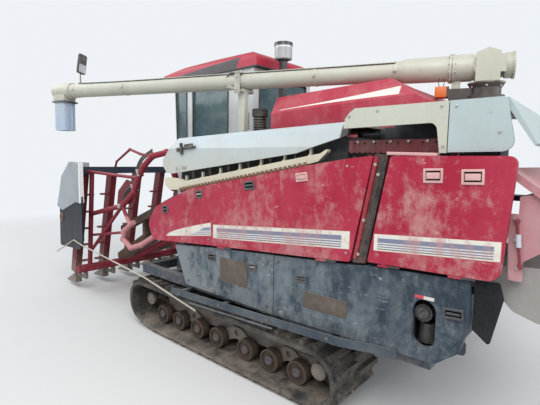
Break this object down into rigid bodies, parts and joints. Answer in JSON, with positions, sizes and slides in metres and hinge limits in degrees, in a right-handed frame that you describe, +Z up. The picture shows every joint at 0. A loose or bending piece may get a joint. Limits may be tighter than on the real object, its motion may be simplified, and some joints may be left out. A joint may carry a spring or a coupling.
{
  "type": "head-feeding combine harvester on rubber tracks",
  "caption": "Six-row head-feeding combine harvester on rubber tracks, with cab, grain tank, side threshing unit and a swinging unloading auger.",
  "frame": {"origin": "on the ground, under the middle of the overall length and width", "axes": "+X forward, +Y to the machine's left, +Z up"},
  "size_m": [5.0884, 2.3, 2.7],
  "materials": {
    "frame_blue": "satin",
    "panel_red": "gloss",
    "cover_white": "gloss",
    "cover_dark": "satin",
    "header_red": "satin",
    "track_rubber": "matte",
    "black_rubber": "matte",
    "rusty_steel": "rough",
    "bare_steel": "satin",
    "dark_steel": "matte",
    "shield_silver": "satin",
    "cab_grey": "satin",
    "black_plastic": "matte",
    "sleeve_blue": "satin",
    "lamp_orange": "gloss",
    "seat_cloth": "matte",
    "window_glass": "gloss"
  },
  "bodies": {
    "machine": {"chassis_frame": "frame_blue", "track_frame_left": "frame_blue", "track_frame_right": "frame_blue", "track_wheels_left": "rusty_steel", "track_wheels_right": "rusty_steel", "rubber_track_left": "track_rubber", "rubber_track_right": "track_rubber", "side_rails": "frame_blue", "tie_down_eyes": "frame_blue", "engine_block": "dark_steel", "thresher_body": "dark_steel", "side_drive": "bare_steel", "feed_chain": "dark_steel", "clamp_rail": "bare_steel", "window_cover": "cover_white", "rear_cover": "cover_white", "straw_conveyor": "header_red", "centre_post": "dark_steel", "lower_cover_front": "cover_dark", "lower_cover_rear": "cover_dark", "fuel_filler": "black_plastic", "spreader_plates": "bare_steel", "rear_flap": "black_rubber", "grain_tank": "panel_red", "cab_shell": "cab_grey", "cab_roof": "panel_red", "cab_glass": "window_glass", "seat": "seat_cloth", "console": "black_plastic", "pre_cleaner": "bare_steel", "intake_duct": "black_plastic", "auger_rest": "cover_white", "auger_column": "cover_white"},
    "drum_lid": {"drum_cover": "cover_white"},
    "front_panel": {"front_side_panel": "panel_red"},
    "rear_panel": {"rear_side_panel": "panel_red"},
    "cutter": {"straw_cutter": "panel_red"},
    "door": {"cab_door": "cab_grey", "door_glass": "window_glass"},
    "turret": {"auger_turret": "cover_white"},
    "boom": {"auger_tube": "cover_white", "auger_spout": "cover_white", "spout_sleeve": "sleeve_blue", "work_lamp": "black_plastic"},
    "boom_barrel": {"auger_cylinder": "dark_steel"},
    "boom_piston": {"auger_rod": "bare_steel"},
    "header": {"header_frame": "header_red", "raising_cases": "header_red", "dividers": "bare_steel", "cutter_bar": "bare_steel", "straw_feeder": "dark_steel", "header_shields": "shield_silver", "header_lamps": "lamp_orange", "guide_rod": "bare_steel"},
    "header_barrel": {"header_cylinder": "dark_steel"},
    "header_piston": {"header_rod": "bare_steel"}
  },
  "joints": [
    {"name": "header_lift", "type": "hinge", "parent": "machine", "child": "header", "pos_m": [0.15584, 0, 1], "axis": [0, -1, 0], "range_deg": [0, 10]},
    {"name": "header_barrel_tilt", "type": "hinge", "parent": "machine", "child": "header_barrel", "pos_m": [0.21584, 0.47, 0.62], "axis": [0, -1, 0], "range_deg": [0, 10.75]},
    {"name": "header_rod_slide", "type": "slide", "parent": "header_barrel", "child": "header_piston", "axis": [0.9995, 0, -0.0312], "range_m": [0, 0.0678]},
    {"name": "auger_swing", "type": "hinge", "parent": "machine", "child": "turret", "pos_m": [-1.84416, -0.3, 1.935], "axis": [0, 0, 1], "range_deg": [0, 255]},
    {"name": "auger_lift", "type": "hinge", "parent": "turret", "child": "boom", "pos_m": [-1.84416, -0.3, 2.205], "axis": [0.2756, -0.9613, 0], "range_deg": [0, 38]},
    {"name": "auger_barrel_tilt", "type": "hinge", "parent": "turret", "child": "boom_barrel", "pos_m": [-1.66632, -0.24901, 1.645], "axis": [0.2756, -0.9613, 0], "range_deg": [-3.51, 0]},
    {"name": "auger_rod_slide", "type": "slide", "parent": "boom_barrel", "child": "boom_piston", "axis": [0.0395, 0.0113, 0.9992], "range_m": [0, 0.1572]},
    {"name": "cab_door_swing", "type": "hinge", "parent": "machine", "child": "door", "pos_m": [0.49184, -1.102, 1.5], "axis": [0, 0, -1], "range_deg": [0, 75]},
    {"name": "front_panel_tilt", "type": "hinge", "parent": "machine", "child": "front_panel", "pos_m": [-0.44116, 1.102, 0.875], "axis": [-0.9976, 0, 0.0691], "range_deg": [0, 65]},
    {"name": "rear_panel_tilt", "type": "hinge", "parent": "machine", "child": "rear_panel", "pos_m": [-1.67016, 1.102, 0.97], "axis": [-0.9994, 0, 0.0345], "range_deg": [0, 65]},
    {"name": "drum_lid_lift", "type": "hinge", "parent": "machine", "child": "drum_lid", "pos_m": [0.14084, 0.454, 1.65], "axis": [0.9992, 0, -0.0404], "range_deg": [0, 60]},
    {"name": "cutter_swing", "type": "hinge", "parent": "machine", "child": "cutter", "pos_m": [-2.29416, 0.19, 1.2], "axis": [0, 0, 1], "range_deg": [0, 60]}
  ],
  "couplings": [
    {"joint": "header_barrel_tilt", "follows": "header_lift", "ratio": 1.0546},
    {"joint": "header_rod_slide", "follows": "header_lift", "m_per_rad": 0.38246},
    {"joint": "auger_barrel_tilt", "follows": "auger_lift", "ratio": -0.09046},
    {"joint": "auger_rod_slide", "follows": "auger_lift", "m_per_rad": 0.23545}
  ]
}
